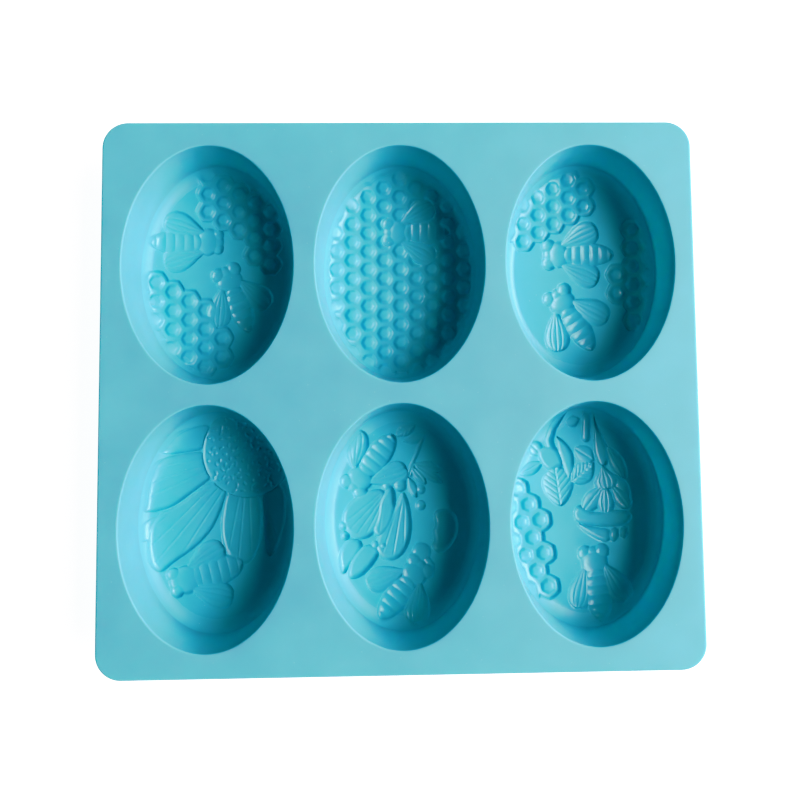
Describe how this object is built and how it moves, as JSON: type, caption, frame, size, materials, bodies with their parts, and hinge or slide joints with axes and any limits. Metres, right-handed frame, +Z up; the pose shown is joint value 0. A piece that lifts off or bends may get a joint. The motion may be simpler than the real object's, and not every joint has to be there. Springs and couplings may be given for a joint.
{
  "type": "soap mould",
  "caption": "Rectangular silicone tray with rounded corners and oval cavities that cast soap bars with bee, flower and honeycomb reliefs.",
  "frame": {"origin": "middle of the underside, on the surface that the tray stands on", "axes": "+X to the right along the longer side, +Y to the back, +Z up, out of the cavities' mouths"},
  "size_m": [0.21, 0.1934, 0.025],
  "materials": {
    "silicone": "satin, slightly translucent cast silicone"
  },
  "bodies": {
    "root": {"deck": "silicone", "wall_back_left": "silicone", "wall_back_middle": "silicone", "wall_back_right": "silicone", "wall_front_left": "silicone", "wall_front_middle": "silicone", "wall_front_right": "silicone", "floor_back_left": "silicone", "floor_back_middle": "silicone", "floor_back_right": "silicone", "floor_front_left": "silicone", "floor_front_middle": "silicone", "floor_front_right": "silicone", "honeycomb_back_left_upper": "silicone", "honeycomb_back_left_lower": "silicone", "honeycomb_back_middle": "silicone", "honeycomb_back_right_upper": "silicone", "honeycomb_back_right_side": "silicone", "honeycomb_front_right": "silicone", "sunflower_seeds": "silicone"}
  },
  "joints": []
}
